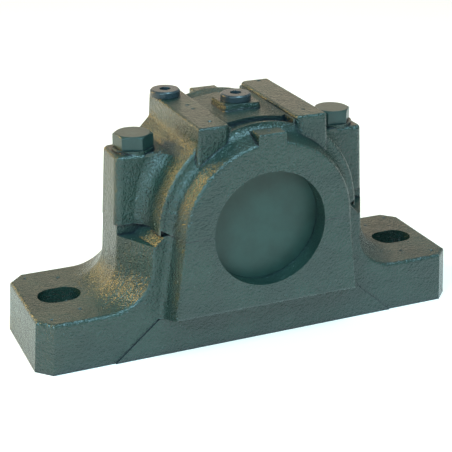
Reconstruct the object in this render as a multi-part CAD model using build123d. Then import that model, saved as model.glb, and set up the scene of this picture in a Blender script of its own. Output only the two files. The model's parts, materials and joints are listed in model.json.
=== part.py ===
from build123d import *
import math
import os

# Split plummer block for a 50 mm shaft, ISO 113 size 511. X runs along the foot, Y along the
# bore with the closed side at -Y, Z is up, and the underside of the foot lies at Z = 0.
# All lengths are millimetres.

# ---- housing ----
BORE_HEIGHT = 70.0
FOOT_LENGTH = 255.0
FOOT_DEPTH = 70.0
FOOT_HEIGHT = 29.5
FOOT_END_DRAFT = 2.0
FOOT_CORNER = 8.0
SLOT_SPACING = 210.0
SLOT_LENGTH = 24.0
SLOT_WIDTH = 18.0
POCKET_LENGTH = 38.0
POCKET_WIDTH = 22.0
POCKET_CORNER = 5.0
POCKET_DEPTH = 7.0
POCKET_X = 24.0
POCKET_Y = 15.0
FOOT_MARKS = [(116.6, 27.6), (99.4, 21.3)]

PLATE_HALF_WIDTH = 61.5
LUG_HALF_LENGTH = 74.6
LUG_HALF_DEPTH = 12.0
LUG_CORNER = 4.0
CASTING_DRAFT = 2.9
FOOT_BLEND = 21.0
EDGE_ROUND = 2.0
NOTCH_DEPTH = 5.5
NOTCH_TOP = 55.0
NOTCH_FLOOR = 60.8
NOTCH_FLARE = 4.7
PRY_SLIT_START = 52.2
PRY_SLIT_END = 57.8
PRY_SLIT_HEIGHT = 3.4
PRY_SLIT_DEPTH = 3.0

NECK_FRONT = 48.0
NECK_RADIUS = 48.4
NECK_ROOT_RADIUS = 52.0
NECK_SKIRT_HEIGHT = 25.0
NECK_SKIRT_HALF = 54.5
SKIRT_ROOT_HEIGHT = 22.0
TOE_PAD_HALF = 85.0
TOE_PAD_TOP_HALF = 59.6
TOE_PAD_THICKNESS = 0.7
NECK_BLEND = 4.0

DRUM_RADIUS = 58.6
DRUM_HALF_DEPTH = 35.0
DRUM_BLEND = 10.0
CAP_LUG_HALF_LENGTH = 75.6
CAP_LUG_TOP_HALF_LENGTH = 73.7
CAP_LUG_HALF_DEPTH = 12.8
CAP_LUG_TOP_HALF_DEPTH = 12.0
CAP_LUG_TOP = 108.3
BOLT_PAD_TOP = 110.0

RAIL_OUTER = 37.0
RAIL_ROOT_OUTER = 38.6
RAIL_INNER = 19.0
RAIL_FOOT_INNER = 16.0
RAIL_ROUND = 1.5
RAIL_SHOULDER = 125.5
RAIL_INNER_CORNER = 4.0
RAIL_OUTER_CORNER = 2.0
RAIL_BLEND = 9.0
TABLE_BLEND = 4.0
RAIL_ROOT = 100.0
RAIL_TOP = 127.3
RAIL_HALF_DEPTH = 37.5
TABLE_TOP = 126.0
TABLE_CROWN = 80.0
SCOOP_FRONT = 24.5
BOSS_HALF = 10.8
BOSS_TOP = 129.0
BOSS_TAPER = 12.0
BOSS_CORNER = 3.0
CROWN_BLOCK_TOP = 123.5
CROWN_BLOCK_HALF = 8.0
CROWN_BLOCK_DEPTH = 10.0
MARK_RADIUS = 1.3
MARK_DEPTH = 1.0
CROWN_MARK_Y = 42.8
RAIL_MARKS = [(-26.5, 4.6), (-26.5, -3.4), (-26.8, -27.4), (30.0, 34.0), (28.2, -26.4)]

# ---- bore ----
SEAT_RADIUS = 50.0
SEAT_HALF_WIDTH = 22.0
CAVITY_RADIUS = 46.0
CAVITY_HALF_WIDTH = 28.0
OPENING_RADIUS = 32.5
GROOVE_RADIUS = 38.5
GROOVE_START = 31.5
GROOVE_END = 37.5

# ---- cap bolts, pins and plugs ----
BOLT_PITCH_HALF = 60.0
BOLT_RADIUS = 6.0
BOLT_FLATS = 19.0
BOLT_HEAD_HEIGHT = 7.5
BOLT_TIP_HEIGHT = 40.0
BOLT_CHAMFER_RADIUS = 9.2
BOLT_CHAMFER_ANGLE = 30.0
BOLT_TURN_LEFT = -21.5
BOLT_TURN_RIGHT = -7.4
TAPPED_RADIUS = 6.05
CLEARANCE_RADIUS = 6.75
DOWEL_RADIUS = 2.5
DOWEL_X = 70.2
DOWEL_Y = 6.5
DOWEL_REACH = 7.0
PLUG_FLANGE_RADIUS = 8.4
PLUG_FLANGE_HEIGHT = 3.7
PLUG_STEM_RADIUS = 5.0
PLUG_SOCKET_FLATS = 6.0
PLUG_SOCKET_DEPTH = 4.0
PLUG_STEM_LENGTH = 8.0
RAIL_PLUG_X = -31.1
RAIL_PLUG_Y = 27.1

# ---- bearing and sleeve ----
SHAFT_RADIUS = 25.0
BEARING_OUTER_RADIUS = 50.0
BEARING_HALF_WIDTH = 10.5
SPHERE_RADIUS = 45.2
BEARING_BORE_RADIUS = 27.5
PITCH_RADIUS = 38.75
ROLLER_RADIUS = 6.2
ROLLER_HALF_LENGTH = 6.4
ROLLER_CROWN_HALF = 2.1
ROLLER_COUNT = 16
RUNNING_GAP = 0.25
INNER_RIB_RADIUS = 34.3
CAGE_INNER_RADIUS = 35.6
CAGE_OUTER_RADIUS = 41.4
CAGE_HALF_WIDTH = 9.4
BORE_TAPER = 1.0 / 24.0
RING_INNER_RADIUS = 43.5
RING_GAP_HALF_WIDTH = 30.0
SLEEVE_REAR = 12.5
SLEEVE_FRONT = -24.5
SLEEVE_THREAD_RADIUS = 27.2
SLEEVE_SLIT = 2.5
WASHER_THICKNESS = 1.5
WASHER_RADIUS = 33.5
WASHER_TAB = 4.5
WASHER_TAB_COUNT = 9
NUT_RADIUS = 37.5
NUT_WIDTH = 11.0
NUT_SLOT_WIDTH = 7.0
NUT_SLOT_DEPTH = 3.0
NUT_SLOT_COUNT = 4

# ---- seals ----
DISC_RADIUS = 36.4
DISC_THICKNESS = 4.6
RING_SQUEEZE = 0.1
SEAL_LIP_RADIUS = 25.2
SEAL_BODY_RADIUS = 29.2
SEAL_LIP_REACH = 1.6
FIT_GAP = 0.03

BORE_PLANE = Plane(origin=(0, 0, BORE_HEIGHT))
BORE_AXIS = Axis((0, 0, BORE_HEIGHT), (0, 1, 0))
BIG = 400.0


def turned(points):
    """Solid of revolution about the bore from (radius, y) points."""
    outline = make_face(Polyline(*points, close=True))
    return revolve(BORE_PLANE * outline, BORE_AXIS)


def ring(inner, outer, start, end):
    """Plain ring about the bore."""
    return turned([(inner, start), (outer, start), (outer, end), (inner, end)])


def front_prism(points, start, end):
    """Outline in (x, z) carried along Y from start to end."""
    outline = make_face(Polyline(*points, close=True))
    return extrude(Plane.XZ.offset(-start) * outline, amount=start - end)


def both_ends(solid):
    """The solid and its copy on the other side of the bore's middle."""
    return solid + mirror(solid, about=Plane.XZ)


def both_sides(solid):
    """The solid and its copy at the other end of the foot."""
    return solid + mirror(solid, about=Plane.YZ)


def upright(x, y, bottom, top, radius):
    """Cylinder standing at (x, y)."""
    height = top - bottom
    return Pos(x, y, bottom + height / 2) * Cylinder(radius, height)


def split_half(upper):
    """Half space above or below the split, as a block."""
    shift = BIG / 2 if upper else -BIG / 2
    return Pos(0, 0, BORE_HEIGHT + shift) * Box(BIG, BIG, BIG)


def bore_space():
    """Everything that is hollow round the shaft."""
    space = ring(0, SEAT_RADIUS, -SEAT_HALF_WIDTH, SEAT_HALF_WIDTH)
    space += ring(0, CAVITY_RADIUS, -CAVITY_HALF_WIDTH, CAVITY_HALF_WIDTH)
    space += ring(0, OPENING_RADIUS, -NECK_FRONT - 1, NECK_FRONT + 1)
    space += both_ends(ring(0, GROOVE_RADIUS, -GROOVE_END, -GROOVE_START))
    return space


def punch_marks(places, top):
    """Shallow pointed marks in the tops of the castings."""
    marks = Part()
    for x, y in places:
        marks += Pos(x, y, top - MARK_DEPTH) * Cone(
            0, 2 * MARK_RADIUS, 2 * MARK_DEPTH, align=(Align.CENTER, Align.CENTER, Align.MIN),
        )
    return marks


def foot():
    """Foot slab with clipped corners and drafted ends."""
    lower = Rectangle(FOOT_LENGTH, FOOT_DEPTH)
    lower = chamfer(lower.vertices(), FOOT_CORNER)
    upper = Rectangle(FOOT_LENGTH - 2 * FOOT_END_DRAFT, FOOT_DEPTH)
    upper = chamfer(upper.vertices(), FOOT_CORNER)
    return loft([lower, Pos(0, 0, FOOT_HEIGHT) * upper], ruled=True)


def pillar():
    """Body between foot and split: drum plate, slanting gussets and bolt lugs, with draft."""
    spread = BORE_HEIGHT * math.tan(math.radians(CASTING_DRAFT))
    slant = (LUG_HALF_LENGTH - PLATE_HALF_WIDTH) / (DRUM_HALF_DEPTH - LUG_HALF_DEPTH)
    beyond = 12.0
    plan = [
        (LUG_HALF_LENGTH, LUG_HALF_DEPTH),
        (PLATE_HALF_WIDTH - slant * beyond, DRUM_HALF_DEPTH + beyond),
        (-PLATE_HALF_WIDTH + slant * beyond, DRUM_HALF_DEPTH + beyond),
        (-LUG_HALF_LENGTH, LUG_HALF_DEPTH),
        (-LUG_HALF_LENGTH, -LUG_HALF_DEPTH),
        (-PLATE_HALF_WIDTH + slant * beyond, -DRUM_HALF_DEPTH - beyond),
        (PLATE_HALF_WIDTH - slant * beyond, -DRUM_HALF_DEPTH - beyond),
        (LUG_HALF_LENGTH, -LUG_HALF_DEPTH),
    ]
    outline = make_face(Polyline(*plan, close=True))
    corners = [v for v in outline.vertices() if abs(v.X) > PLATE_HALF_WIDTH]
    outline = fillet(corners, LUG_CORNER)
    outline = Plane(origin=(0, 0, BORE_HEIGHT), x_dir=(1, 0, 0), z_dir=(0, 0, -1)) * outline
    body = extrude(outline, amount=BORE_HEIGHT, taper=-CASTING_DRAFT)
    return body & Box(BIG, 2 * DRUM_HALF_DEPTH, BIG)


def neck_skirt():
    """Lower half of the front neck, flaring from the split down to the toe of the foot."""
    flare = (NECK_SKIRT_HALF - NECK_RADIUS) / (BORE_HEIGHT - NECK_SKIRT_HEIGHT)
    root_half = NECK_ROOT_RADIUS + flare * (BORE_HEIGHT - SKIRT_ROOT_HEIGHT)
    front = make_face(Polyline(
        (NECK_RADIUS, BORE_HEIGHT),
        (-NECK_RADIUS, BORE_HEIGHT),
        (-NECK_SKIRT_HALF, NECK_SKIRT_HEIGHT),
        (NECK_SKIRT_HALF, NECK_SKIRT_HEIGHT),
        close=True,
    ))
    root = make_face(Polyline(
        (NECK_ROOT_RADIUS, BORE_HEIGHT),
        (-NECK_ROOT_RADIUS, BORE_HEIGHT),
        (-root_half, SKIRT_ROOT_HEIGHT),
        (root_half, SKIRT_ROOT_HEIGHT),
        close=True,
    ))
    skirt = loft(
        [Plane.XZ.offset(NECK_FRONT) * front, Plane.XZ.offset(DRUM_HALF_DEPTH - 1) * root],
        ruled=True,
    )
    return skirt + toe_pad()


def toe_pad():
    """Thin raised field on the front of the foot, spreading down from the neck."""
    outline = [
        (-TOE_PAD_HALF, 0),
        (TOE_PAD_HALF, 0),
        (TOE_PAD_TOP_HALF, SKIRT_ROOT_HEIGHT),
        (-TOE_PAD_TOP_HALF, SKIRT_ROOT_HEIGHT),
    ]
    face = DRUM_HALF_DEPTH + TOE_PAD_THICKNESS
    return front_prism(outline, -face, -DRUM_HALF_DEPTH + 1)


def foot_and_pillar():
    """Foot slab and pillar as one casting, with the big blends and the rounded rims."""
    body = foot() + pillar()
    blend_edges = [
        edge for edge in body.edges()
        if abs(edge.center().Z - FOOT_HEIGHT) < 1
        and abs(edge.center().Y) < DRUM_HALF_DEPTH - 1
        and abs(edge.center().X) < FOOT_LENGTH / 2 - 20
    ]
    body = fillet(blend_edges, FOOT_BLEND)
    side_rims = [
        edge for edge in body.edges()
        if abs(abs(edge.center().Y) - DRUM_HALF_DEPTH) < 0.01
        and FOOT_HEIGHT - 1 < edge.center().Z < BORE_HEIGHT - 1
    ]
    end_rims = [
        edge for edge in body.edges()
        if abs(edge.center().Z - FOOT_HEIGHT) < 0.01
        and abs(edge.center().X) > FOOT_LENGTH / 2 - 10
    ]
    return fillet(side_rims + end_rims, EDGE_ROUND)


def pry_notches():
    """Four gaps beside the lugs where a lever parts the two castings."""
    low = BORE_HEIGHT - NOTCH_DEPTH
    front = DRUM_HALF_DEPTH + 1
    sections = []
    for y, shift in ((front, 0), (LUG_HALF_DEPTH, NOTCH_FLARE)):
        outline = make_face(Polyline(
            (NOTCH_TOP + shift, BORE_HEIGHT + 0.1),
            (NOTCH_FLOOR + shift, low),
            (FOOT_LENGTH / 3, low),
            (FOOT_LENGTH / 3, BORE_HEIGHT + 0.1),
            close=True,
        ))
        sections.append(Plane.XZ.offset(y) * outline)
    return both_sides(both_ends(loft(sections, ruled=True)))


def pry_slits():
    """Small wedge-shaped slits in the ends of the cap, above the gaps in the base."""
    outline = [
        (PRY_SLIT_START, BORE_HEIGHT - 0.1),
        (PRY_SLIT_END, BORE_HEIGHT - 0.1),
        (PRY_SLIT_END, BORE_HEIGHT + PRY_SLIT_HEIGHT),
    ]
    slit = front_prism(outline, -DRUM_HALF_DEPTH - 1, -DRUM_HALF_DEPTH + PRY_SLIT_DEPTH)
    return both_sides(both_ends(slit))


def foot_slots():
    """Two long slots for the foundation bolts."""
    slot = extrude(SlotOverall(SLOT_LENGTH, SLOT_WIDTH), amount=2 * FOOT_HEIGHT)
    return both_sides(Pos(SLOT_SPACING / 2, 0, -FOOT_HEIGHT / 2) * slot)


def core_pockets():
    """Four cored pockets in the underside that leave a cross of ribs."""
    sketch = RectangleRounded(POCKET_LENGTH, POCKET_WIDTH, POCKET_CORNER)
    pocket = extrude(sketch, amount=POCKET_DEPTH, taper=4)
    return both_sides(both_ends(Pos(POCKET_X, POCKET_Y, 0) * pocket))


def housing_base():
    """Lower casting: foot, lower half of the drum and of both necks."""
    body = foot_and_pillar() + both_ends(neck_skirt())
    neck_roots = [
        edge for edge in body.edges()
        if abs(abs(edge.center().Y) - DRUM_HALF_DEPTH) < 0.01
        and NECK_RADIUS < abs(edge.center().X) < PLATE_HALF_WIDTH - 1
        and SKIRT_ROOT_HEIGHT + 1 < edge.center().Z < BORE_HEIGHT - 1
        and edge.length > DRUM_HALF_DEPTH
    ]
    body = fillet(neck_roots, NECK_BLEND)
    neck_rims = [
        edge for edge in body.edges()
        if abs(abs(edge.center().Y) - NECK_FRONT) < 0.01
        and edge.center().Z < BORE_HEIGHT - 1
    ]
    body = fillet(neck_rims, EDGE_ROUND)
    body -= pry_notches() + bore_space() + foot_slots() + core_pockets()
    for side in (-1, 1):
        x = side * BOLT_PITCH_HALF
        body -= upright(x, 0, BOLT_TIP_HEIGHT - 3, BORE_HEIGHT + 1, TAPPED_RADIUS)
        bottom = BORE_HEIGHT - DOWEL_REACH - 1
        dowel_x = side * DOWEL_X
        body -= upright(dowel_x, side * DOWEL_Y, bottom, BORE_HEIGHT + 1, DOWEL_RADIUS + FIT_GAP)
    marks = [(side * x, way * y) for x, y in FOOT_MARKS for side in (-1, 1) for way in (-1, 1)]
    return body - punch_marks(marks, FOOT_HEIGHT)


def drum_blend():
    """Hollow blend that runs from the front of the lugs out to the drum."""
    lug_face = -LUG_HALF_DEPTH
    drum_end = lug_face - DRUM_BLEND
    centre_radius = DRUM_RADIUS + DRUM_BLEND
    diagonal = DRUM_BLEND / math.sqrt(2)
    wall = Polyline(
        (centre_radius, lug_face),
        (DRUM_RADIUS - 1, lug_face),
        (DRUM_RADIUS - 1, drum_end),
        (DRUM_RADIUS, drum_end),
    )
    hollow = ThreePointArc(
        (DRUM_RADIUS, drum_end),
        (centre_radius - diagonal, drum_end + diagonal),
        (centre_radius, lug_face),
    )
    return revolve(BORE_PLANE * make_face([wall, hollow]), BORE_AXIS)


def crown_section():
    """Drum seen along the bore: flat on top, with its flanks blended up to the rails."""
    section = Pos(0, BORE_HEIGHT) * Circle(DRUM_RADIUS)
    section &= Pos(0, TABLE_TOP - TABLE_CROWN) * Circle(TABLE_CROWN)
    section &= Pos(0, BORE_HEIGHT + BIG / 2) * Rectangle(BIG, BIG)
    crown = TABLE_TOP - TABLE_CROWN + math.sqrt(TABLE_CROWN ** 2 - RAIL_FOOT_INNER ** 2)
    bar = rail_outline([
        (RAIL_INNER, RAIL_TOP),
        (RAIL_INNER, RAIL_SHOULDER),
        (RAIL_FOOT_INNER, crown),
        (RAIL_FOOT_INNER, RAIL_ROOT),
    ])
    bar &= Pos(0, RAIL_SHOULDER - BIG / 2) * Rectangle(BIG, BIG)
    section += bar + mirror(bar, about=Plane.YZ)
    corners = section.vertices()
    flanks = [v for v in corners if abs(v.X) > RAIL_OUTER and RAIL_ROOT < v.Y < RAIL_SHOULDER - 1]
    section = fillet(flanks, RAIL_BLEND)
    dips = [v for v in section.vertices() if abs(abs(v.X) - RAIL_FOOT_INNER) < 0.01]
    return fillet(dips, TABLE_BLEND)


def cap_drum():
    """Upper half drum with the two bolt lugs blended into it."""
    drum = extrude(Plane.XZ * crown_section(), amount=DRUM_HALF_DEPTH, both=True)
    rims = [
        edge for edge in drum.edges()
        if abs(abs(edge.center().Y) - DRUM_HALF_DEPTH) < 0.01
        and abs(edge.center().X) > RAIL_OUTER
    ]
    drum = fillet(rims, EDGE_ROUND)
    scoop = Pos(0, -SCOOP_FRONT - 20, RAIL_TOP) * Box(2 * RAIL_FOOT_INNER + 4, 40, 40)
    drum -= both_ends(scoop)
    bottom = RectangleRounded(2 * CAP_LUG_HALF_LENGTH, 2 * CAP_LUG_HALF_DEPTH, LUG_CORNER)
    top = RectangleRounded(2 * CAP_LUG_TOP_HALF_LENGTH, 2 * CAP_LUG_TOP_HALF_DEPTH, LUG_CORNER)
    lugs = loft([Pos(0, 0, BORE_HEIGHT) * bottom, Pos(0, 0, CAP_LUG_TOP) * top], ruled=True)
    lugs = fillet(lugs.edges().group_by(Axis.Z)[-1], EDGE_ROUND)
    height = CAP_LUG_TOP - BORE_HEIGHT
    blend_zone = Pos(0, 0, BORE_HEIGHT + height / 2) * Box(
        2 * CAP_LUG_TOP_HALF_LENGTH, 2 * DRUM_HALF_DEPTH, height,
    )
    return drum + lugs + (both_ends(drum_blend()) & blend_zone)


def rail_outline(inner_points):
    """Right rail seen along the bore with a drafted outer wall, closed by its inner side."""
    outer = [(RAIL_ROOT_OUTER, RAIL_ROOT), (RAIL_OUTER, RAIL_TOP)]
    return make_face(Polyline(*outer, *inner_points, close=True))


def rail():
    """Long flat rail on the right of the crown."""
    outline = rail_outline([(RAIL_INNER, RAIL_TOP), (RAIL_INNER, RAIL_ROOT)])
    bar = extrude(Plane.XZ * outline, amount=RAIL_HALF_DEPTH, both=True)
    uprights = [edge for edge in bar.edges() if edge.length < 2 * RAIL_HALF_DEPTH
                and abs(edge.tangent_at(0.5).Z) > 0.5]
    inner = [edge for edge in uprights if edge.center().X < RAIL_INNER + 1]
    bar = fillet(inner, RAIL_INNER_CORNER)
    outer = [edge for edge in bar.edges() if edge.center().X > RAIL_OUTER
             and abs(edge.tangent_at(0.5).Z) > 0.5]
    bar = fillet(outer, RAIL_OUTER_CORNER)
    return fillet(bar.faces().sort_by(Axis.Z)[-1].edges(), RAIL_ROUND)


def crown_block():
    """Small flat block on top of the front neck."""
    middle = -NECK_FRONT + CROWN_BLOCK_DEPTH / 2
    root = CROWN_BLOCK_TOP - BORE_HEIGHT
    block = Pos(0, middle, BORE_HEIGHT + root / 2) * Box(
        2 * CROWN_BLOCK_HALF, CROWN_BLOCK_DEPTH, root,
    )
    return fillet(block.edges().group_by(Axis.Z)[-1], 1.0)


def cap_neck():
    """Upper half of the front neck, tapering out to a hollow blend against the drum."""
    inner_end = -SEAT_HALF_WIDTH + 2
    drum_face = -DRUM_HALF_DEPTH
    diagonal = NECK_BLEND * (1 - 1 / math.sqrt(2))
    profile = Polyline(
        (NECK_ROOT_RADIUS + NECK_BLEND, drum_face),
        (NECK_ROOT_RADIUS + NECK_BLEND, drum_face + 1),
        (NECK_ROOT_RADIUS, inner_end),
        (0, inner_end),
        (0, -NECK_FRONT),
        (NECK_RADIUS, -NECK_FRONT),
        (NECK_ROOT_RADIUS - 0.9, drum_face - NECK_BLEND),
    )
    hollow = ThreePointArc(
        (NECK_ROOT_RADIUS - 0.9, drum_face - NECK_BLEND),
        (NECK_ROOT_RADIUS - 0.3 + diagonal, drum_face - diagonal),
        (NECK_ROOT_RADIUS + NECK_BLEND, drum_face),
    )
    cone = revolve(BORE_PLANE * make_face([profile, hollow]), BORE_AXIS)
    rim = cone.edges().group_by(Axis.Y)[0]
    cone = fillet(rim, EDGE_ROUND)
    return (cone & split_half(True)) + crown_block()


def centre_boss():
    """Square boss round the middle grease hole."""
    sunk = 3.0
    width = 2 * (BOSS_HALF + sunk * math.tan(math.radians(BOSS_TAPER)))
    pad = Pos(0, 0, TABLE_TOP - sunk) * RectangleRounded(width, width, BOSS_CORNER)
    return extrude(pad, amount=BOSS_TOP - TABLE_TOP + sunk, taper=BOSS_TAPER)


def grease_holes():
    """Holes for the two plugs, down to the seat and to the grease space."""
    holes = upright(0, 0, BORE_HEIGHT + 40, BOSS_TOP + 1, PLUG_STEM_RADIUS + FIT_GAP)
    stem_end = RAIL_TOP - PLUG_STEM_LENGTH - 1
    holes += upright(RAIL_PLUG_X, RAIL_PLUG_Y, stem_end, RAIL_TOP + 1, PLUG_STEM_RADIUS + FIT_GAP)
    holes += upright(RAIL_PLUG_X, RAIL_PLUG_Y, BORE_HEIGHT + 30, stem_end, 3)
    return holes


def housing_cap():
    """Upper casting: lugs, drum, necks, rails, table and boss."""
    body = cap_drum() + both_sides(rail()) + both_ends(cap_neck()) + centre_boss()
    for side in (-1, 1):
        x = side * BOLT_PITCH_HALF
        body += upright(x, 0, CAP_LUG_TOP - 1, BOLT_PAD_TOP, LUG_HALF_DEPTH - 0.5)
        body -= upright(x, 0, BORE_HEIGHT - 1, BOLT_PAD_TOP + 1, CLEARANCE_RADIUS)
        top = BORE_HEIGHT + DOWEL_REACH + 1
        dowel_x = side * DOWEL_X
        body -= upright(dowel_x, side * DOWEL_Y, BORE_HEIGHT - 1, top, DOWEL_RADIUS + FIT_GAP)
    body -= bore_space() + grease_holes() + pry_slits()
    body -= punch_marks(RAIL_MARKS, RAIL_TOP)
    marks = [(0, -CROWN_MARK_Y), (0, CROWN_MARK_Y)]
    return body - punch_marks(marks, CROWN_BLOCK_TOP)


def hexagon(across_flats, turn):
    """Hexagon sketch of a given width across flats."""
    return Rot(0, 0, turn) * RegularPolygon(across_flats / 2, 6, major_radius=False)


def cap_bolt(x, turn):
    """Hexagon bolt that holds the cap down."""
    head = extrude(hexagon(BOLT_FLATS, turn), amount=BOLT_HEAD_HEIGHT)
    depth = BOLT_HEAD_HEIGHT + 1
    spread = depth / math.tan(math.radians(BOLT_CHAMFER_ANGLE))
    bevel = Pos(0, 0, -1) * Cone(
        BOLT_CHAMFER_RADIUS + spread, BOLT_CHAMFER_RADIUS, depth,
        align=(Align.CENTER, Align.CENTER, Align.MIN),
    )
    head = Pos(x, 0, BOLT_PAD_TOP) * (head & bevel)
    return head + upright(x, 0, BOLT_TIP_HEIGHT, BOLT_PAD_TOP, BOLT_RADIUS)


def dowel(side):
    """Straight pin that locates the cap on the base."""
    bottom = BORE_HEIGHT - DOWEL_REACH
    return upright(side * DOWEL_X, side * DOWEL_Y, bottom, BORE_HEIGHT + DOWEL_REACH, DOWEL_RADIUS)


def grease_plug(x, y, seat, turn):
    """Screw plug with a collar and a hexagon socket."""
    plug = upright(x, y, seat, seat + PLUG_FLANGE_HEIGHT, PLUG_FLANGE_RADIUS)
    plug = chamfer(plug.edges().group_by(Axis.Z)[-1], 0.8)
    plug += upright(x, y, seat - PLUG_STEM_LENGTH, seat, PLUG_STEM_RADIUS)
    socket = extrude(hexagon(PLUG_SOCKET_FLATS, turn), amount=PLUG_SOCKET_DEPTH + 1)
    return plug - Pos(x, y, seat + PLUG_FLANGE_HEIGHT - PLUG_SOCKET_DEPTH) * socket


def end_cover():
    """Blank disc that closes the front neck."""
    front = -GROOVE_END + RING_SQUEEZE + 0.5
    disc = ring(0, DISC_RADIUS, front, front + DISC_THICKNESS)
    return chamfer(disc.edges().filter_by(GeomType.CIRCLE), 0.6)


def end_cover_ring():
    """Rubber ring between the disc and its groove."""
    return ring(
        DISC_RADIUS + FIT_GAP, GROOVE_RADIUS - RING_SQUEEZE,
        -GROOVE_END + RING_SQUEEZE, -GROOVE_START - RING_SQUEEZE,
    )


def rear_seal(upper):
    """One half of the two-lip seal in the rear groove."""
    start = GROOVE_START + RING_SQUEEZE
    end = GROOVE_END - RING_SQUEEZE
    seal = turned([
        (GROOVE_RADIUS - RING_SQUEEZE, start),
        (GROOVE_RADIUS - RING_SQUEEZE, end),
        (SEAL_BODY_RADIUS, end),
        (SEAL_LIP_RADIUS, end + SEAL_LIP_REACH),
        (SEAL_LIP_RADIUS, end + SEAL_LIP_REACH - 1),
        (SEAL_BODY_RADIUS, end - 1.8),
        (SEAL_BODY_RADIUS, start + 1.8),
        (SEAL_LIP_RADIUS, start - SEAL_LIP_REACH + 1),
        (SEAL_LIP_RADIUS, start - SEAL_LIP_REACH),
        (SEAL_BODY_RADIUS, start),
    ])
    lift = FIT_GAP if upper else -FIT_GAP
    return seal & (Pos(0, 0, lift) * split_half(upper))


def locating_ring(way):
    """Open ring that fixes the bearing along the seat."""
    start = way * (BEARING_HALF_WIDTH + FIT_GAP)
    end = way * (SEAT_HALF_WIDTH - FIT_GAP)
    band = ring(RING_INNER_RADIUS, SEAT_RADIUS - FIT_GAP, min(start, end), max(start, end))
    gap = Pos(0, 0, BORE_HEIGHT + SEAT_RADIUS) * Box(
        2 * RING_GAP_HALF_WIDTH, BIG, SEAT_RADIUS,
    )
    return band - gap


def bearing_outer_ring():
    """Outer ring with a spherical raceway."""
    band = ring(
        PITCH_RADIUS, BEARING_OUTER_RADIUS - FIT_GAP, -BEARING_HALF_WIDTH, BEARING_HALF_WIDTH,
    )
    return band - Pos(0, 0, BORE_HEIGHT) * Sphere(SPHERE_RADIUS)


def crown_drop():
    """How much the barrel profile falls from its middle to its ends."""
    profile = SPHERE_RADIUS - RUNNING_GAP
    return profile - math.sqrt(profile ** 2 - ROLLER_HALF_LENGTH ** 2)


def taper_radius(y):
    """Radius of the tapered bore at a place along the bearing."""
    return BEARING_BORE_RADIUS + (y + BEARING_HALF_WIDTH) * BORE_TAPER


def bearing_inner_ring():
    """Inner ring with a tapered bore and one hollow raceway between two ribs."""
    middle = PITCH_RADIUS - ROLLER_RADIUS - RUNNING_GAP
    edge = middle + crown_drop()
    reach = ROLLER_HALF_LENGTH + RUNNING_GAP
    return turned([
        (edge, reach),
        (INNER_RIB_RADIUS, reach),
        (INNER_RIB_RADIUS, BEARING_HALF_WIDTH),
        (taper_radius(BEARING_HALF_WIDTH), BEARING_HALF_WIDTH),
        (taper_radius(-BEARING_HALF_WIDTH), -BEARING_HALF_WIDTH),
        (INNER_RIB_RADIUS, -BEARING_HALF_WIDTH),
        (INNER_RIB_RADIUS, -reach),
        (edge, -reach),
        (middle, -ROLLER_CROWN_HALF),
        (middle, ROLLER_CROWN_HALF),
    ])


def roller():
    """Barrel roller at the top of the pitch circle, its crown made of a band and two cones."""
    end_radius = ROLLER_RADIUS - crown_drop()
    profile = make_face(Polyline(
        (0, -ROLLER_HALF_LENGTH),
        (end_radius, -ROLLER_HALF_LENGTH),
        (ROLLER_RADIUS, -ROLLER_CROWN_HALF),
        (ROLLER_RADIUS, ROLLER_CROWN_HALF),
        (end_radius, ROLLER_HALF_LENGTH),
        (0, ROLLER_HALF_LENGTH),
        close=True,
    ))
    centre = (0, 0, BORE_HEIGHT + PITCH_RADIUS)
    return revolve(Plane(origin=centre) * profile, Axis(centre, (0, 1, 0)))


def around_bore(solid, count):
    """Copies of a solid spaced evenly round the bore."""
    centre = Pos(0, 0, BORE_HEIGHT)
    return [centre * Rot(0, 360 * i / count, 0) * centre.inverse() * solid for i in range(count)]


def bearing_cage():
    """Window cage between the rings."""
    band = ring(CAGE_INNER_RADIUS, CAGE_OUTER_RADIUS, -CAGE_HALF_WIDTH, CAGE_HALF_WIDTH)
    window = Pos(0, 0, BORE_HEIGHT + PITCH_RADIUS) * Box(
        2 * (ROLLER_RADIUS + FIT_GAP), 2 * (ROLLER_HALF_LENGTH + 0.1), 10,
    )
    for cut in around_bore(window, ROLLER_COUNT):
        band -= cut
    return band


def adapter_sleeve():
    """Slit tapered sleeve that clamps the bearing on the shaft."""
    rear = taper_radius(SLEEVE_REAR) - FIT_GAP
    step = -BEARING_HALF_WIDTH - 0.5
    sleeve = turned([
        (SHAFT_RADIUS, SLEEVE_FRONT),
        (SLEEVE_THREAD_RADIUS, SLEEVE_FRONT),
        (SLEEVE_THREAD_RADIUS, step),
        (taper_radius(step) - FIT_GAP, step),
        (rear, SLEEVE_REAR),
        (SHAFT_RADIUS, SLEEVE_REAR),
    ])
    return sleeve - Pos(0, 0, BORE_HEIGHT - SHAFT_RADIUS) * Box(SLEEVE_SLIT, BIG, 12)


def lock_washer():
    """Tabbed washer between nut and bearing."""
    start = -BEARING_HALF_WIDTH - WASHER_THICKNESS
    bore = taper_radius(-BEARING_HALF_WIDTH) + FIT_GAP
    washer = ring(bore, WASHER_RADIUS, start, -BEARING_HALF_WIDTH)
    middle = start + WASHER_THICKNESS / 2
    tab = Pos(0, middle, BORE_HEIGHT + WASHER_RADIUS + 1) * Box(WASHER_TAB, WASHER_THICKNESS, 5)
    for piece in around_bore(tab, WASHER_TAB_COUNT):
        washer += piece
    return washer


def lock_nut():
    """Slotted round nut on the thread of the sleeve."""
    end = -BEARING_HALF_WIDTH - WASHER_THICKNESS
    nut = ring(SLEEVE_THREAD_RADIUS + FIT_GAP, NUT_RADIUS, end - NUT_WIDTH, end)
    slot = Pos(0, end - NUT_WIDTH / 2, BORE_HEIGHT + NUT_RADIUS) * Box(
        NUT_SLOT_WIDTH, NUT_WIDTH + 1, 2 * NUT_SLOT_DEPTH,
    )
    for cut in around_bore(slot, NUT_SLOT_COUNT):
        nut -= cut
    return nut


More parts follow.
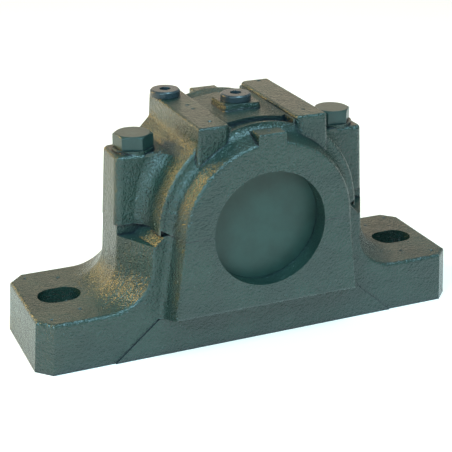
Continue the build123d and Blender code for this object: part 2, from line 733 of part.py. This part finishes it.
def main():
    """Build every piece and write one STEP file for each."""
    pieces = {
        "housing_base": housing_base(),
        "housing_cap": housing_cap(),
        "cap_bolt_left": cap_bolt(-BOLT_PITCH_HALF, BOLT_TURN_LEFT),
        "cap_bolt_right": cap_bolt(BOLT_PITCH_HALF, BOLT_TURN_RIGHT),
        "dowel_front_left": dowel(-1),
        "dowel_rear_right": dowel(1),
        "grease_plug_centre": grease_plug(0, 0, BOSS_TOP, 10),
        "grease_plug_rail": grease_plug(RAIL_PLUG_X, RAIL_PLUG_Y, RAIL_TOP, 25),
        "end_cover": end_cover(),
        "end_cover_ring": end_cover_ring(),
        "rear_seal_upper": rear_seal(True),
        "rear_seal_lower": rear_seal(False),
        "locating_ring_front": locating_ring(-1),
        "locating_ring_rear": locating_ring(1),
        "bearing_outer_ring": bearing_outer_ring(),
        "bearing_inner_ring": bearing_inner_ring(),
        "bearing_cage": bearing_cage(),
        "bearing_rollers": Compound(around_bore(roller(), ROLLER_COUNT)),
        "adapter_sleeve": adapter_sleeve(),
        "lock_washer": lock_washer(),
        "lock_nut": lock_nut(),
    }
    os.makedirs("parts", exist_ok=True)
    for name, piece in pieces.items():
        export_step(piece, f"parts/{name}.step")



main()
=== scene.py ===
import bpy
import json
import math
from mathutils import Matrix, Vector

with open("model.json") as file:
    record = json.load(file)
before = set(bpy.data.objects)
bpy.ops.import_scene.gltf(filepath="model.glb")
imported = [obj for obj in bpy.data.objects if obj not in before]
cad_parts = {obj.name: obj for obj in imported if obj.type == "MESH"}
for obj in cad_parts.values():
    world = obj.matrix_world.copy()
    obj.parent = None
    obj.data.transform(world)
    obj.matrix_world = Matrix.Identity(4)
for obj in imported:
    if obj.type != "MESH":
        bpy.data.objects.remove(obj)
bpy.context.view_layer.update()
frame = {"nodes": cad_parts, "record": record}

# ---- camera, metres and degrees, lens and sensor in millimetres ----
AZIMUTH = -23.66
ELEVATION = 22.63
ROLL = 0.34
DISTANCE = 0.68571
TARGET = Vector((-0.00529, 0.0, 0.05419))
LENS = 95.65
SENSOR_WIDTH = 36
NEAREST_SEEN = 0.05
FARTHEST_SEEN = 20

# ---- floor and surroundings ----
FLOOR_SIZE = 20
FLOOR_COLOR = (0.72, 0.70, 0.65, 1)
FLOOR_ROUGHNESS = 0.95
FLOOR_SPECULAR = 0.1
FLOOR_GLOW = 0.46
GLOW_COLOR = (1, 1, 1, 1)
COOL_WORLD = (0.36, 0.44, 0.42, 1)
WARM_WORLD = (1.00, 0.94, 0.84, 1)
WORLD_STRENGTH = 0.48
WARM_WAY = (0.0, 0.90, 0.25)
WARM_LIMITS = (-0.3, 0.8)

# ---- lamps: name, place, size, watts, colour ----
COOL_LIGHT = (0.46, 0.84, 1.0)
WARM_LIGHT = (1.0, 0.64, 0.18)
AMBER_LIGHT = (1.0, 0.72, 0.42)
TEAL_LIGHT = (0.50, 1.0, 0.92)
SOFT_LIGHTS = [
    ("cool_above", (0.15, -0.55, 1.15), 0.52, 14.5, COOL_LIGHT),
    ("cool_left", (-0.78, -0.66, 0.80), 0.32, 13.0, COOL_LIGHT),
    ("warm_left", (-0.92, 0.72, 0.50), 0.42, 13.0, WARM_LIGHT),
    ("warm_behind", (0.45, 1.45, 0.62), 1.30, 3.0, AMBER_LIGHT),
    ("fill_front", (0.60, -1.30, 0.70), 1.20, 2.0, TEAL_LIGHT),
]
LIGHT_AIM = Vector((0, 0, 0.07))

# ---- places on the object, metres ----
BORE_CENTRE = (0, 0, 0.07)
SPLIT_HEIGHT = 0.07
SPLIT_LINE_HALF = 0.0006

# ---- paint, metal and rubber, linear colours ----
PAINT = (0.014, 0.037, 0.028, 1)
PAINT_DARK = (0.008, 0.025, 0.020, 1)
# lighter tone for the outer edges: paint rubbed through, and partly a painted edge highlight
PAINT_WORN_AND_HIGHLIGHT = (0.080, 0.078, 0.060, 1)
BOLT_PAINT = (0.020, 0.046, 0.040, 1)
PLUG_PAINT = (0.030, 0.044, 0.052, 1)
COVER_PAINT = (0.022, 0.052, 0.043, 1)
# dark tone for dust and the split hairline, and also painted shade in corners and holes
GRIME_AND_SHADE = (0.006, 0.013, 0.017, 1)
STEEL = (0.56, 0.57, 0.58, 1)
STEEL_DULL = (0.34, 0.34, 0.34, 1)
IRON = (0.26, 0.26, 0.26, 1)
BRASS = (0.66, 0.46, 0.20, 1)
RUBBER = (0.018, 0.018, 0.020, 1)
RUBBER_DUST = (0.10, 0.10, 0.095, 1)

# ---- painted castings: grain per metre, reaches and depths in metres ----
CAST_SPECULAR = 0.72
CAST_CLOUD_GRAIN = 45
CAST_CLOUD_LIMITS = (0.35, 0.65)
CAST_SPECK_GRAIN = 1000
CAST_SPECK_LIMITS = (0.58, 0.72)
# lighter outer edges of the castings: paint rubbed through, and partly a painted edge highlight
CAST_WEAR_AND_HIGHLIGHT_REACH = 0.0012
CAST_WEAR_AND_HIGHLIGHT_LIMITS = (0.30, 0.75)
CAST_WEAR_AND_HIGHLIGHT_GRAIN = 260
# painted shade in the hollows and crevices of the castings
CAST_HOLLOW_REACH = 0.012
CAST_HOLLOW_LIMITS = (0.30, 0.8)
CAST_CREVICE_REACH = 0.002
CAST_CREVICE_LIMITS = (0.08, 0.30)
CAST_GLOSS_GRAIN = 300
CAST_ROUGHNESS = (0.16, 0.32)
WAVE_GRAIN = 110
WAVE_DEPTH = 0.0007
PEEL_GRAIN = 650
PEEL_DEPTH = 0.0007
SAND_GRAIN = 1400
SAND_DEPTH = 0.0004

# ---- smooth paint ----
SMOOTH_CLOUD_GRAIN = 120
SMOOTH_CLOUD_LIMITS = (0.35, 0.70)
SMOOTH_CLOUD_SHADE = 0.72
# lighter outer edges of smooth paint: paint rubbed through, and partly a painted edge highlight
SMOOTH_WEAR_AND_HIGHLIGHT_REACH = 0.0008
SMOOTH_WEAR_AND_HIGHLIGHT_LIMITS = (0.35, 0.80)
SMOOTH_WEAR_AND_HIGHLIGHT_GRAIN = 700
# painted shade in the hollows of smooth paint
SMOOTH_HOLLOW_REACH = 0.006
SMOOTH_GLOSS_GRAIN = 500
SMOOTH_GLOSS_SPREAD = (-0.06, 0.08)
SMOOTH_CORNER = 0.0006
SMOOTH_RIPPLE_GRAIN = 900

# ---- machined metal ----
METAL_DUST_GRAIN = 180
METAL_DUST_LIMITS = (0.45, 0.75)
METAL_DUST_SHARE = 0.35
# painted shade in the hollows of machined metal
METAL_HOLLOW_REACH = 0.008
METAL_CORNER = 0.0004
METAL_MARK_GRAIN = 2600
METAL_MARK_LIMITS = (0.35, 0.70)
METAL_MARK_SHADE = 0.70
METAL_GLOSS_SPREAD = (-0.05, 0.12)

# ---- rubber ----
RUBBER_DUST_GRAIN = 400
RUBBER_DUST_LIMITS = (0.50, 0.80)
RUBBER_DUST_SHARE = 0.25
RUBBER_GLOSS_GRAIN = 900
RUBBER_ROUGHNESS = (0.55, 0.75)
RUBBER_GRAIN = 2200
RUBBER_GRAIN_DEPTH = 0.00008
RUBBER_CORNER = 0.0003

# ---- painted shade deep in the hollows of small pieces ----
SMALL_HOLLOW_LIMITS = (0.5, 1.0)


def add_camera():
    """Camera at the viewing angle, looking a little down on the left front."""
    azimuth, elevation, roll = (math.radians(v) for v in (AZIMUTH, ELEVATION, ROLL))
    back = Vector((
        math.sin(azimuth) * math.cos(elevation),
        -math.cos(azimuth) * math.cos(elevation),
        math.sin(elevation),
    ))
    right = Vector((math.cos(azimuth), math.sin(azimuth), 0))
    up = back.cross(right)
    rolled_right = math.cos(roll) * right + math.sin(roll) * up
    rolled_up = -math.sin(roll) * right + math.cos(roll) * up
    axes = Matrix((rolled_right, rolled_up, back)).transposed()
    data = bpy.data.cameras.new("camera")
    data.lens = LENS
    data.sensor_width = SENSOR_WIDTH
    data.clip_start = NEAREST_SEEN
    data.clip_end = FARTHEST_SEEN
    camera = bpy.data.objects.new("camera", data)
    camera.matrix_world = Matrix.Translation(TARGET + back * DISTANCE) @ axes.to_4x4()
    bpy.context.collection.objects.link(camera)
    bpy.context.scene.camera = camera


def shaded(color, share):
    """The colour with its light cut down to a share."""
    return tuple(share * part for part in color[:3]) + (1,)


class Finish:
    """A material and the few node helpers that the finishes share."""

    def __init__(self, name):
        self.material = bpy.data.materials.new(name)
        self.material.use_nodes = True
        self.nodes = self.material.node_tree.nodes
        self.links = self.material.node_tree.links
        self.shader = self.nodes["Principled BSDF"]
        self.place = self.nodes.new("ShaderNodeTexCoord").outputs["Object"]

    def set(self, **values):
        """Constants on the shader's own sockets."""
        for name, value in values.items():
            self.shader.inputs[name.replace("_", " ")].default_value = value

    def noise(self, grain, detail=2.0, roughness=0.5):
        """Uneven value from 0 to 1, with so many grains to the metre."""
        node = self.nodes.new("ShaderNodeTexNoise")
        node.inputs["Scale"].default_value = grain
        node.inputs["Detail"].default_value = detail
        node.inputs["Roughness"].default_value = roughness
        self.links.new(self.place, node.inputs["Vector"])
        return node.outputs["Fac"]

    def ramp(self, value, low, high):
        """Value stretched so that low becomes 0 and high becomes 1."""
        node = self.nodes.new("ShaderNodeMapRange")
        node.inputs["From Min"].default_value = low
        node.inputs["From Max"].default_value = high
        self.links.new(value, node.inputs["Value"])
        return node.outputs["Result"]

    def mix(self, share, first, second):
        """Colour that goes from first to second as share goes from 0 to 1."""
        node = self.nodes.new("ShaderNodeMix")
        node.data_type = "RGBA"
        self.links.new(share, node.inputs["Factor"])
        for socket, color in ((node.inputs["A"], first), (node.inputs["B"], second)):
            if isinstance(color, tuple):
                socket.default_value = color
            else:
                self.links.new(color, socket)
        return node.outputs["Result"]

    def bump(self, height, depth, under=None):
        """Surface direction of a relief, on top of another one if given."""
        node = self.nodes.new("ShaderNodeBump")
        node.inputs["Distance"].default_value = depth
        self.links.new(height, node.inputs["Height"])
        if under is not None:
            self.links.new(under, node.inputs["Normal"])
        return node.outputs["Normal"]

    def math(self, operation, first, second=0.0):
        """Result of one sum on two values, each a number or a socket."""
        node = self.nodes.new("ShaderNodeMath")
        node.operation = operation
        for socket, value in zip(node.inputs, (first, second)):
            if isinstance(value, (int, float)):
                socket.default_value = value
            else:
                self.links.new(value, socket)
        return node.outputs["Value"]

    def hidden(self, reach):
        """1 deep in corners and holes, 0 on open surfaces."""
        node = self.nodes.new("ShaderNodeAmbientOcclusion")
        node.inputs["Distance"].default_value = reach
        return self.math("SUBTRACT", 1.0, node.outputs["AO"])

    def edges(self, reach):
        """1 on outer edges, 0 on flat surfaces."""
        node = self.nodes.new("ShaderNodeAmbientOcclusion")
        node.inside = True
        node.inputs["Distance"].default_value = reach
        return self.math("SUBTRACT", 1.0, node.outputs["AO"])

    def soft_edge(self, radius):
        """Surface direction with every corner rounded over."""
        node = self.nodes.new("ShaderNodeBevel")
        node.inputs["Radius"].default_value = radius
        return node.outputs["Normal"]

    def edge_wear_and_highlight(self, tone, reach, limits, grain):
        """Tone lighter in patches on the outer edges: paint rubbed through, and partly a painted
        edge highlight.
        """
        edge = self.ramp(self.edges(reach), *limits)
        return self.mix(self.math("MULTIPLY", edge, self.noise(grain, 3)), tone, PAINT_WORN_AND_HIGHLIGHT)

    def shade_hollows(self, tone, reach, limits):
        """Tone darkened in the corners and holes, a painted shade."""
        return self.mix(self.ramp(self.hidden(reach), *limits), tone, GRIME_AND_SHADE)

    def round_bore(self):
        """Texture place that only changes outwards from the bore and along it, for turned faces."""
        shift = self.nodes.new("ShaderNodeVectorMath")
        shift.operation = "SUBTRACT"
        shift.inputs[1].default_value = BORE_CENTRE
        self.links.new(self.place, shift.inputs[0])
        parts = self.nodes.new("ShaderNodeSeparateXYZ")
        self.links.new(shift.outputs["Vector"], parts.inputs["Vector"])
        across = self.math("POWER", parts.outputs["X"], 2.0)
        up = self.math("POWER", parts.outputs["Z"], 2.0)
        radius = self.math("SQRT", self.math("ADD", across, up))
        joined = self.nodes.new("ShaderNodeCombineXYZ")
        self.links.new(radius, joined.inputs["X"])
        self.links.new(parts.outputs["Y"], joined.inputs["Y"])
        self.place = joined.outputs["Vector"]

    def near_split(self):
        """1 on the hairline between the two castings."""
        parts = self.nodes.new("ShaderNodeSeparateXYZ")
        self.links.new(self.place, parts.inputs["Vector"])
        away = self.math("ABSOLUTE", self.math("SUBTRACT", parts.outputs["Z"], SPLIT_HEIGHT))
        return self.ramp(away, SPLIT_LINE_HALF, 0.0)

    def color(self, socket):
        """The finished tone of the surface."""
        self.links.new(socket, self.shader.inputs["Base Color"])

    def rough(self, value, smooth, dull):
        """Roughness between smooth and dull, following a value from 0 to 1."""
        node = self.nodes.new("ShaderNodeMapRange")
        node.inputs["To Min"].default_value = smooth
        node.inputs["To Max"].default_value = dull
        self.links.new(value, node.inputs["Value"])
        self.links.new(node.outputs["Result"], self.shader.inputs["Roughness"])

    def normal(self, socket):
        """The finished relief of the surface."""
        self.links.new(socket, self.shader.inputs["Normal"])


def cast_paint():
    """Glossy dark green-grey paint over a rough sand casting."""
    finish = Finish("cast_paint")
    finish.set(Specular_IOR_Level=CAST_SPECULAR)
    cloud = finish.ramp(finish.noise(CAST_CLOUD_GRAIN, 3), *CAST_CLOUD_LIMITS)
    tone = finish.mix(cloud, PAINT, PAINT_DARK)
    specks = finish.ramp(finish.noise(CAST_SPECK_GRAIN, 3, 0.7), *CAST_SPECK_LIMITS)
    tone = finish.mix(specks, tone, PAINT_DARK)
    # lighter outer edges: paint rubbed through, and partly a painted edge highlight
    tone = finish.edge_wear_and_highlight(tone, CAST_WEAR_AND_HIGHLIGHT_REACH, CAST_WEAR_AND_HIGHLIGHT_LIMITS, CAST_WEAR_AND_HIGHLIGHT_GRAIN)
    # painted shade in the hollows and the crevices
    tone = finish.shade_hollows(tone, CAST_HOLLOW_REACH, CAST_HOLLOW_LIMITS)
    tone = finish.shade_hollows(tone, CAST_CREVICE_REACH, CAST_CREVICE_LIMITS)
    finish.color(finish.mix(finish.near_split(), tone, GRIME_AND_SHADE))
    finish.rough(finish.noise(CAST_GLOSS_GRAIN, 4, 0.6), *CAST_ROUGHNESS)
    waves = finish.bump(finish.noise(WAVE_GRAIN), WAVE_DEPTH)
    peel = finish.bump(finish.noise(PEEL_GRAIN), PEEL_DEPTH, waves)
    finish.normal(finish.bump(finish.noise(SAND_GRAIN, 1), SAND_DEPTH, peel))
    return finish.material


def smooth_paint(name, color, roughness, ripple):
    """Sprayed paint over a machined or rolled surface."""
    finish = Finish(name)
    cloud = finish.ramp(finish.noise(SMOOTH_CLOUD_GRAIN, 3), *SMOOTH_CLOUD_LIMITS)
    tone = finish.mix(cloud, color, shaded(color, SMOOTH_CLOUD_SHADE))
    # lighter outer edges: paint rubbed through, and partly a painted edge highlight
    tone = finish.edge_wear_and_highlight(tone, SMOOTH_WEAR_AND_HIGHLIGHT_REACH, SMOOTH_WEAR_AND_HIGHLIGHT_LIMITS, SMOOTH_WEAR_AND_HIGHLIGHT_GRAIN)
    # painted shade in the hollows
    finish.color(finish.shade_hollows(tone, SMOOTH_HOLLOW_REACH, SMALL_HOLLOW_LIMITS))
    smoother, duller = SMOOTH_GLOSS_SPREAD
    finish.rough(finish.noise(SMOOTH_GLOSS_GRAIN, 3), roughness + smoother, roughness + duller)
    rounded = finish.soft_edge(SMOOTH_CORNER)
    finish.normal(finish.bump(finish.noise(SMOOTH_RIPPLE_GRAIN), ripple, rounded))
    return finish.material


def machined_metal(name, color, roughness, ridges):
    """Turned or ground metal with fine marks round the bore and a little oil and dust."""
    finish = Finish(name)
    finish.set(Metallic=1.0)
    dust = finish.ramp(finish.noise(METAL_DUST_GRAIN, 4), *METAL_DUST_LIMITS)
    rounded = finish.soft_edge(METAL_CORNER)
    finish.round_bore()
    marks = finish.noise(METAL_MARK_GRAIN, 3, 0.7)
    lines = finish.ramp(marks, *METAL_MARK_LIMITS)
    tone = finish.mix(lines, color, shaded(color, METAL_MARK_SHADE))
    tone = finish.mix(finish.math("MULTIPLY", dust, METAL_DUST_SHARE), tone, GRIME_AND_SHADE)
    # painted shade in the hollows
    finish.color(finish.shade_hollows(tone, METAL_HOLLOW_REACH, SMALL_HOLLOW_LIMITS))
    smoother, duller = METAL_GLOSS_SPREAD
    finish.rough(marks, roughness + smoother, roughness + duller)
    finish.normal(finish.bump(marks, ridges, rounded))
    return finish.material


def rubber():
    """Matt black moulded rubber with a fine grain and dusty high spots."""
    finish = Finish("rubber")
    dust = finish.ramp(finish.noise(RUBBER_DUST_GRAIN, 4), *RUBBER_DUST_LIMITS)
    finish.color(finish.mix(finish.math("MULTIPLY", dust, RUBBER_DUST_SHARE), RUBBER, RUBBER_DUST))
    finish.rough(finish.noise(RUBBER_GLOSS_GRAIN, 3), *RUBBER_ROUGHNESS)
    rounded = finish.soft_edge(RUBBER_CORNER)
    finish.normal(finish.bump(finish.noise(RUBBER_GRAIN), RUBBER_GRAIN_DEPTH, rounded))
    return finish.material


def add_floor():
    """Plain pale floor that shows white and keeps the shadow of the object."""
    bpy.ops.mesh.primitive_plane_add(size=FLOOR_SIZE)
    floor = bpy.context.object
    floor.name = "floor"
    finish = Finish("floor_paper")
    finish.set(
        Base_Color=FLOOR_COLOR,
        Roughness=FLOOR_ROUGHNESS,
        Specular_IOR_Level=FLOOR_SPECULAR,
        Emission_Color=GLOW_COLOR,
    )
    path = finish.nodes.new("ShaderNodeLightPath")
    seen = finish.math("MAXIMUM", path.outputs["Is Camera Ray"], path.outputs["Is Glossy Ray"])
    seen = finish.math("MAXIMUM", seen, path.outputs["Is Transmission Ray"])
    glow = finish.math("MULTIPLY", seen, FLOOR_GLOW)
    finish.links.new(glow, finish.shader.inputs["Emission Strength"])
    floor.data.materials.append(finish.material)


def add_soft_light(name, place, size, power, color):
    """Soft square light that points at the middle of the object."""
    data = bpy.data.lights.new(name, "AREA")
    data.size = size
    data.energy = power
    data.color = color
    light = bpy.data.objects.new(name, data)
    light.location = place
    light.visible_camera = False
    light.rotation_euler = (LIGHT_AIM - Vector(place)).to_track_quat("-Z", "Y").to_euler()
    bpy.context.collection.objects.link(light)


def add_surroundings():
    """Pale studio surroundings, a little warm behind and cool in front."""
    world = bpy.data.worlds.new("studio")
    world.use_nodes = True
    nodes = world.node_tree.nodes
    links = world.node_tree.links
    place = nodes.new("ShaderNodeTexCoord")
    along = nodes.new("ShaderNodeVectorMath")
    along.operation = "DOT_PRODUCT"
    along.inputs[1].default_value = WARM_WAY
    blend = nodes.new("ShaderNodeMapRange")
    blend.inputs["From Min"].default_value = WARM_LIMITS[0]
    blend.inputs["From Max"].default_value = WARM_LIMITS[1]
    colors = nodes.new("ShaderNodeMix")
    colors.data_type = "RGBA"
    colors.inputs["A"].default_value = COOL_WORLD
    colors.inputs["B"].default_value = WARM_WORLD
    background = nodes["Background"]
    background.inputs["Strength"].default_value = WORLD_STRENGTH
    links.new(place.outputs["Generated"], along.inputs[0])
    links.new(along.outputs["Value"], blend.inputs["Value"])
    links.new(blend.outputs["Result"], colors.inputs["Factor"])
    links.new(colors.outputs["Result"], background.inputs["Color"])
    bpy.context.scene.world = world
    bpy.context.scene.view_settings.view_transform = "Standard"


def finishes():
    """One material for each finish named in the record."""
    return {
        "housing_paint": cast_paint(),
        "cover_paint": smooth_paint("cover_paint", COVER_PAINT, roughness=0.42, ripple=0.00003),
        "bolt_steel": smooth_paint("bolt_paint", BOLT_PAINT, roughness=0.30, ripple=0.00008),
        "plug_steel": smooth_paint("plug_paint", PLUG_PAINT, roughness=0.28, ripple=0.00008),
        "bright_steel": machined_metal("bright_steel", STEEL, roughness=0.26, ridges=0.00003),
        "bearing_steel": machined_metal("bearing_steel", STEEL, roughness=0.16, ridges=0.00001),
        "sleeve_steel": machined_metal("sleeve_steel", STEEL_DULL, roughness=0.34, ridges=0.00005),
        "ring_iron": machined_metal("ring_iron", IRON, roughness=0.45, ridges=0.00006),
        "cage_brass": machined_metal("cage_brass", BRASS, roughness=0.28, ridges=0.00004),
        "seal_rubber": rubber(),
    }


add_camera()
add_floor()
add_surroundings()
for light in SOFT_LIGHTS:
    add_soft_light(*light)
made = finishes()
for row in frame["record"]["subparts"]:
    node = frame["nodes"][row["node"]]
    node.data.materials.clear()
    node.data.materials.append(made[row["material_slot"]])
